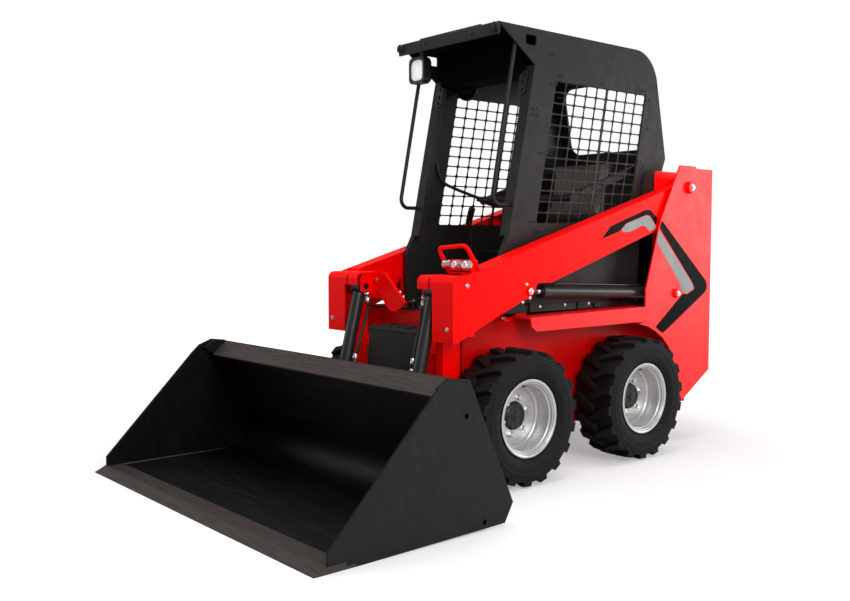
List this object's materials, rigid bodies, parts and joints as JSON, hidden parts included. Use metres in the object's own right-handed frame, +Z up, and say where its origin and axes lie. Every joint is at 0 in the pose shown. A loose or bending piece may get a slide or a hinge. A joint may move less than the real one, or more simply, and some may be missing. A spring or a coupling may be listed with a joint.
{
  "type": "skid steer loader",
  "caption": "Compact skid steer loader with straight lift arms outside a mesh-sided cab, four lugged wheels and a wide dirt bucket.",
  "frame": {"origin": "on the ground under the middle of the machine's bounding box, bucket included", "axes": "+X to the machine's left, +Y to its rear, +Z up; the bucket points along -Y"},
  "size_m": [1.758, 2.782, 1.99],
  "materials": {
    "red_paint": "gloss",
    "charcoal_paint": "satin",
    "bucket_paint": "satin",
    "worn_steel": "worn",
    "engine_grey": "matte",
    "seat_vinyl": "satin",
    "lamp_housing": "matte",
    "cylinder_grey": "satin",
    "chrome_rod": "polished",
    "tyre_rubber": "matte",
    "rim_grey": "satin",
    "hub_black": "satin"
  },
  "bodies": {
    "chassis": {"chassis_tub": "red_paint", "axle_housings": "charcoal_paint", "decks": "red_paint", "tower_left": "red_paint", "tower_right": "red_paint", "chassis_pins": "charcoal_paint", "engine_block": "engine_grey", "radiator": "engine_grey", "cab_side_left": "charcoal_paint", "cab_side_right": "charcoal_paint", "cab_roof": "charcoal_paint", "cab_rear": "charcoal_paint", "cab_floor": "charcoal_paint", "seat": "seat_vinyl", "control_levers": "charcoal_paint", "grab_handles": "charcoal_paint", "work_lamp": "lamp_housing"},
    "arms": {"arm_left": "red_paint", "arm_right": "red_paint", "arm_crossmember": "red_paint", "step_box": "charcoal_paint", "arm_pins": "charcoal_paint", "coupler_block": "red_paint", "arm_lock": "red_paint"},
    "bucket": {"bucket_shell": "bucket_paint", "bucket_lip": "worn_steel", "attach_frame": "bucket_paint", "cutting_edge": "worn_steel"},
    "lift_barrels": {"lift_barrels": "cylinder_grey"},
    "lift_rods": {"lift_rods": "chrome_rod"},
    "tilt_barrels": {"tilt_barrels": "cylinder_grey"},
    "tilt_rods": {"tilt_rods": "chrome_rod"},
    "rear_door": {"rear_door": "charcoal_paint"},
    "hood": {"hood": "red_paint"},
    "seat_bar": {"seat_bar": "charcoal_paint"},
    "wheel_front_left": {"tyre_front_left": "tyre_rubber", "rim_front_left": "rim_grey", "hub_front_left": "hub_black"},
    "wheel_front_right": {"tyre_front_right": "tyre_rubber", "rim_front_right": "rim_grey", "hub_front_right": "hub_black"},
    "wheel_rear_left": {"tyre_rear_left": "tyre_rubber", "rim_rear_left": "rim_grey", "hub_rear_left": "hub_black"},
    "wheel_rear_right": {"tyre_rear_right": "tyre_rubber", "rim_rear_right": "rim_grey", "hub_rear_right": "hub_black"}
  },
  "joints": [
    {"name": "arm_lift", "type": "hinge", "parent": "chassis", "child": "arms", "pos_m": [0, 1.188, 1.306], "axis": [-1, 0, 0], "range_deg": [0, 76]},
    {"name": "bucket_tilt", "type": "hinge", "parent": "arms", "child": "bucket", "pos_m": [0, -0.437, 0.16], "axis": [1, 0, 0], "range_deg": [-26, 110]},
    {"name": "lift_barrel_swing", "type": "hinge", "parent": "chassis", "child": "lift_barrels", "pos_m": [0, 1.087, 0.771], "axis": [-1, 0, 0], "range_deg": [0, 64.98]},
    {"name": "lift_rod_slide", "type": "slide", "parent": "lift_barrels", "child": "lift_rods", "axis": [0, -0.999, 0.0437], "range_m": [0, 0.6173]},
    {"name": "tilt_barrel_swing", "type": "hinge", "parent": "arms", "child": "tilt_barrels", "pos_m": [0, -0.362, 0.828], "axis": [1, 0, 0], "range_deg": [-0.99, 2.57]},
    {"name": "tilt_rod_slide", "type": "slide", "parent": "tilt_barrels", "child": "tilt_rods", "axis": [0, -0.2388, -0.9711], "range_m": [-0.0511, 0.2099]},
    {"name": "rear_door_hinge", "type": "hinge", "parent": "chassis", "child": "rear_door", "pos_m": [-0.331, 1.383, 0.8], "axis": [0, 0, 1], "range_deg": [0, 110]},
    {"name": "hood_hinge", "type": "hinge", "parent": "chassis", "child": "hood", "pos_m": [0, 1.109, 1.164], "axis": [1, 0, 0], "range_deg": [0, 60]},
    {"name": "seat_bar_hinge", "type": "hinge", "parent": "chassis", "child": "seat_bar", "pos_m": [0, 0.963, 1.4], "axis": [-1, 0, 0], "range_deg": [0, 75]},
    {"name": "wheel_front_left_spin", "type": "hinge", "parent": "chassis", "child": "wheel_front_left", "pos_m": [0.478, -0.097, 0.292], "axis": [1, 0, 0], "continuous": true},
    {"name": "wheel_front_right_spin", "type": "hinge", "parent": "chassis", "child": "wheel_front_right", "pos_m": [-0.478, -0.097, 0.292], "axis": [1, 0, 0], "continuous": true},
    {"name": "wheel_rear_left_spin", "type": "hinge", "parent": "chassis", "child": "wheel_rear_left", "pos_m": [0.478, 0.693, 0.292], "axis": [1, 0, 0], "continuous": true},
    {"name": "wheel_rear_right_spin", "type": "hinge", "parent": "chassis", "child": "wheel_rear_right", "pos_m": [-0.478, 0.693, 0.292], "axis": [1, 0, 0], "continuous": true}
  ],
  "couplings": [
    {"joint": "lift_barrel_swing", "follows": "arm_lift", "ratio": 0.8484},
    {"joint": "lift_rod_slide", "follows": "arm_lift", "m_per_rad": 0.46387},
    {"joint": "tilt_barrel_swing", "follows": "bucket_tilt", "ratio": 0.018836},
    {"joint": "tilt_rod_slide", "follows": "bucket_tilt", "m_per_rad": 0.10828}
  ]
}
